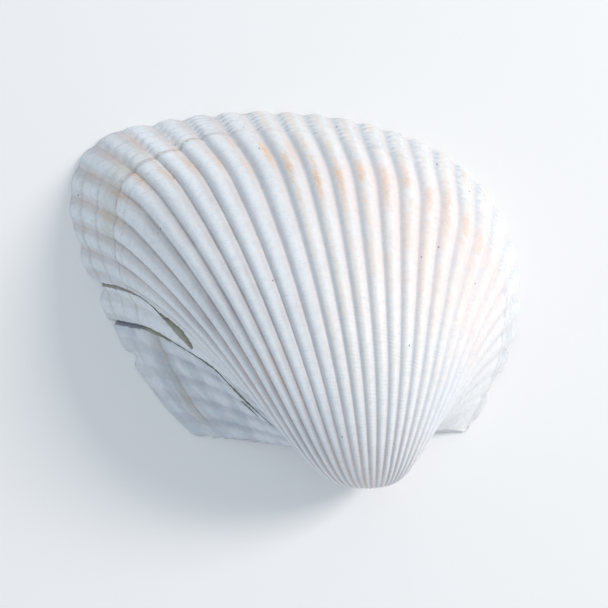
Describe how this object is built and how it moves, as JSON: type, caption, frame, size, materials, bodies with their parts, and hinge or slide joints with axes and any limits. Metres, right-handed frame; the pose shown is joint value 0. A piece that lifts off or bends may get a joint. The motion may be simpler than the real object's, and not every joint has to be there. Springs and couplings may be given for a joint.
{
  "type": "ark shell valve",
  "caption": "Single ribbed half of an ark shell: domed hollow valve with radial ribs, a beak curled over a straight toothed hinge, and two old cracks in its rear slope.",
  "frame": {"origin": "middle of the bounding box in length and width, on the plane of the rim", "axes": "+X towards the front (anterior) end along the hinge line, +Y towards the free (ventral) edge, +Z out of the convex ribbed side"},
  "size_m": [0.06, 0.0504, 0.0207],
  "materials": {
    "shell": "bleached shell, satin, with faint orange-brown stains in the rib grooves"
  },
  "bodies": {
    "root": {"valve": "shell"}
  },
  "joints": []
}
